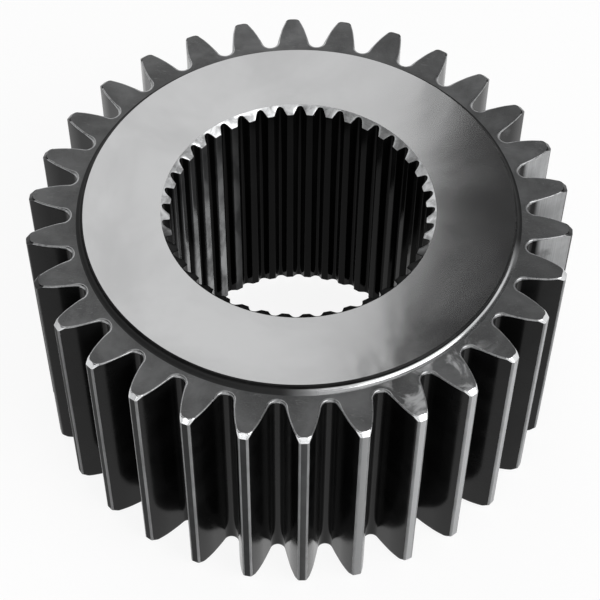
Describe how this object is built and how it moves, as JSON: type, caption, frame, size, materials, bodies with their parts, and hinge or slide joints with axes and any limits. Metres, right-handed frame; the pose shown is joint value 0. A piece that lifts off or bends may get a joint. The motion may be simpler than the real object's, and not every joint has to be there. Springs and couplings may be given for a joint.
{
  "type": "sun gear",
  "caption": "Straight-toothed steel gear with a raised ground hub face on each end and an internal involute spline.",
  "frame": {"origin": "centre of the lower hub face, on the bore axis", "axes": "+Z along the bore axis, up from the lower hub face to the upper one; +X through the middle of an outer tooth"},
  "size_m": [0.176, 0.1754, 0.0925],
  "materials": {
    "hardened_steel": "dark heat-treated steel, with the hub faces ground bright and satin"
  },
  "bodies": {
    "root": {"sun_gear": "hardened_steel"}
  },
  "joints": []
}
